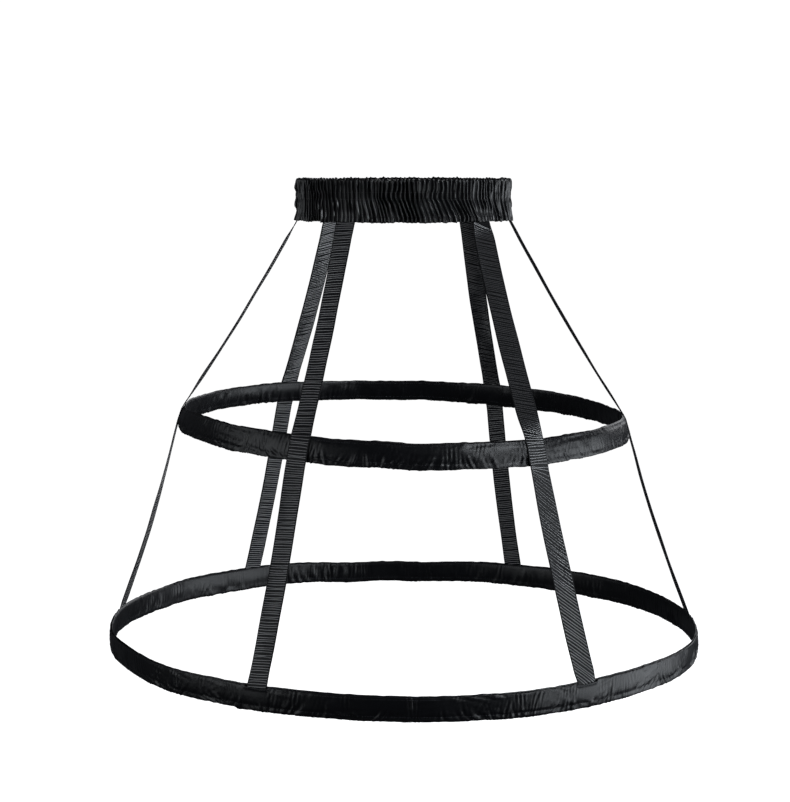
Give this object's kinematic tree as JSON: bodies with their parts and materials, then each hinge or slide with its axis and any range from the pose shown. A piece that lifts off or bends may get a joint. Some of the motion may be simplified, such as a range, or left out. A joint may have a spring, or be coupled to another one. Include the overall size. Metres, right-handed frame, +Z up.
{
  "type": "crinoline cage",
  "caption": "Crinoline cage: a gathered elastic waistband with flat ribbon straps that carry round satin-cased steel hoops, to hold a skirt out from the body.",
  "frame": {"origin": "centre of the waist opening, halfway up the waistband", "axes": "+Z up along the body, -Y to the front, +X to the right as seen from the front"},
  "size_m": [0.6604, 0.6603, 0.523],
  "materials": {
    "waistband_satin": "satin",
    "hoop_satin": "satin",
    "ribbon": "matte",
    "elastic": "matte",
    "spring_steel": "satin",
    "sleeve_metal": "satin"
  },
  "bodies": {
    "root": {"waistband_casing": "waistband_satin", "waistband_elastic": "elastic", "front_left_strap": "ribbon", "front_right_strap": "ribbon", "right_side_strap": "ribbon", "back_right_strap": "ribbon", "back_left_strap": "ribbon", "left_side_strap": "ribbon", "upper_hoop_casing": "hoop_satin", "upper_hoop_steel": "spring_steel", "upper_hoop_sleeve": "sleeve_metal", "lower_hoop_casing": "hoop_satin", "lower_hoop_steel": "spring_steel", "lower_hoop_sleeve": "sleeve_metal"}
  },
  "joints": []
}
